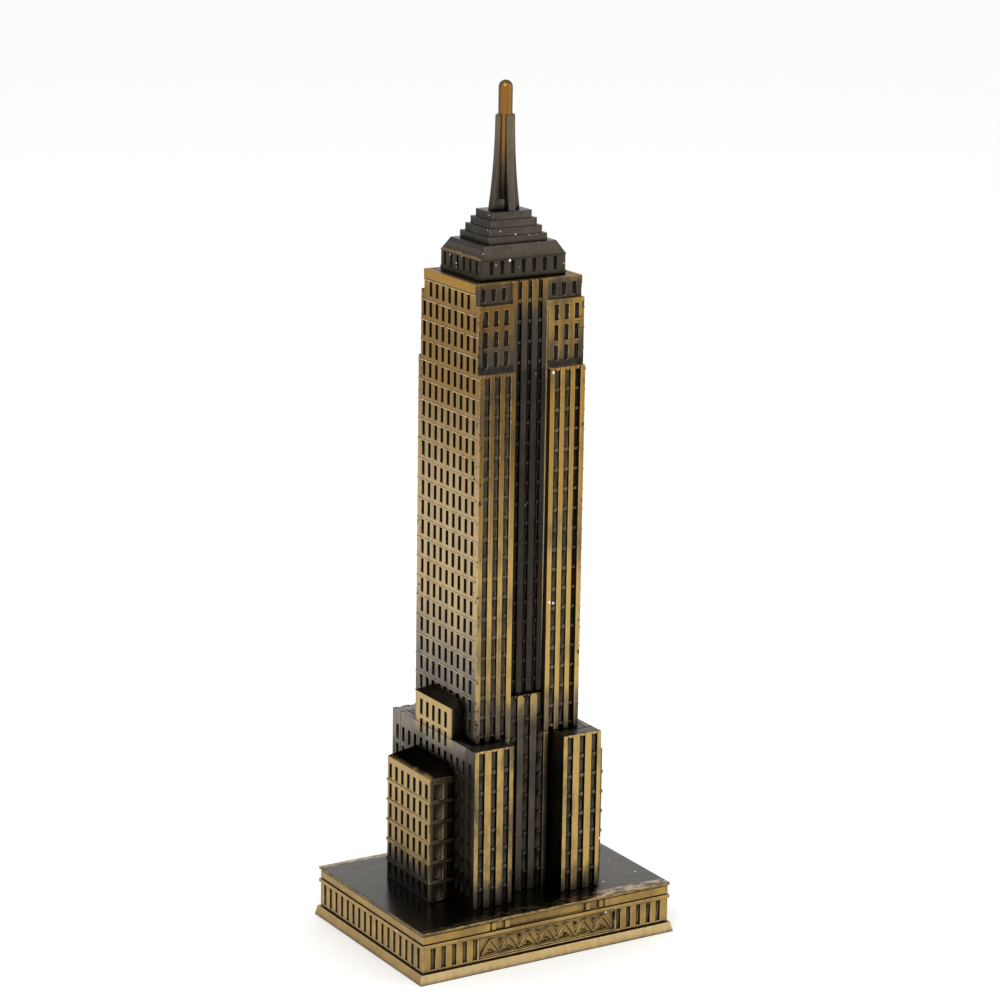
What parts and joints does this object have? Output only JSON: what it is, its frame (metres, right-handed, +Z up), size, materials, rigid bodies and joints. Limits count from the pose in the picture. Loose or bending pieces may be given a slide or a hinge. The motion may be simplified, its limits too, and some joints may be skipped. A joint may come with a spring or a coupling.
{
  "type": "miniature landmark model",
  "caption": "Desk souvenir of an art deco setback tower in antique bronze, with a stepped crown and mast, standing on a moulded rectangular plinth.",
  "frame": {"origin": "centre of the plinth's resting face, at the bottom of the felt pad", "axes": "+Z up along the mast, -Y towards the front with the frieze, +X to the right seen from the front"},
  "size_m": [0.062, 0.0458, 0.18],
  "materials": {
    "plinth_bronze": "satin",
    "plinth_patina": "satin",
    "side_bronze": "satin",
    "front_bronze": "satin",
    "roof_patina": "satin",
    "crown_patina": "satin",
    "rod_brass": "polished",
    "fixing_steel": "satin",
    "pad_felt": "matte"
  },
  "bodies": {
    "root": {"plinth_shell": "plinth_bronze", "front_frieze": "plinth_bronze", "plinth_roof": "plinth_patina", "base_plate": "fixing_steel", "base_screws": "fixing_steel", "felt_pad": "pad_felt", "podium_left_wall": "side_bronze", "podium_right_wall": "side_bronze", "podium_roof": "roof_patina", "front_left_pylon": "front_bronze", "front_right_pylon": "front_bronze", "rear_left_pylon": "front_bronze", "rear_right_pylon": "front_bronze", "front_centre_bay": "front_bronze", "rear_centre_bay": "front_bronze", "left_wing": "side_bronze", "right_wing": "side_bronze", "left_wing_roof": "roof_patina", "right_wing_roof": "roof_patina", "left_step_block": "side_bronze", "right_step_block": "side_bronze", "tower_front_wall": "front_bronze", "tower_rear_wall": "front_bronze", "tower_left_wall": "side_bronze", "tower_right_wall": "side_bronze", "tower_deck": "roof_patina", "observatory": "crown_patina", "observatory_roof": "crown_patina", "stepped_pyramid": "crown_patina", "mast": "crown_patina", "antenna_rod": "rod_brass", "tie_rod": "fixing_steel", "tie_washer": "fixing_steel", "tie_nut": "fixing_steel"}
  },
  "joints": []
}
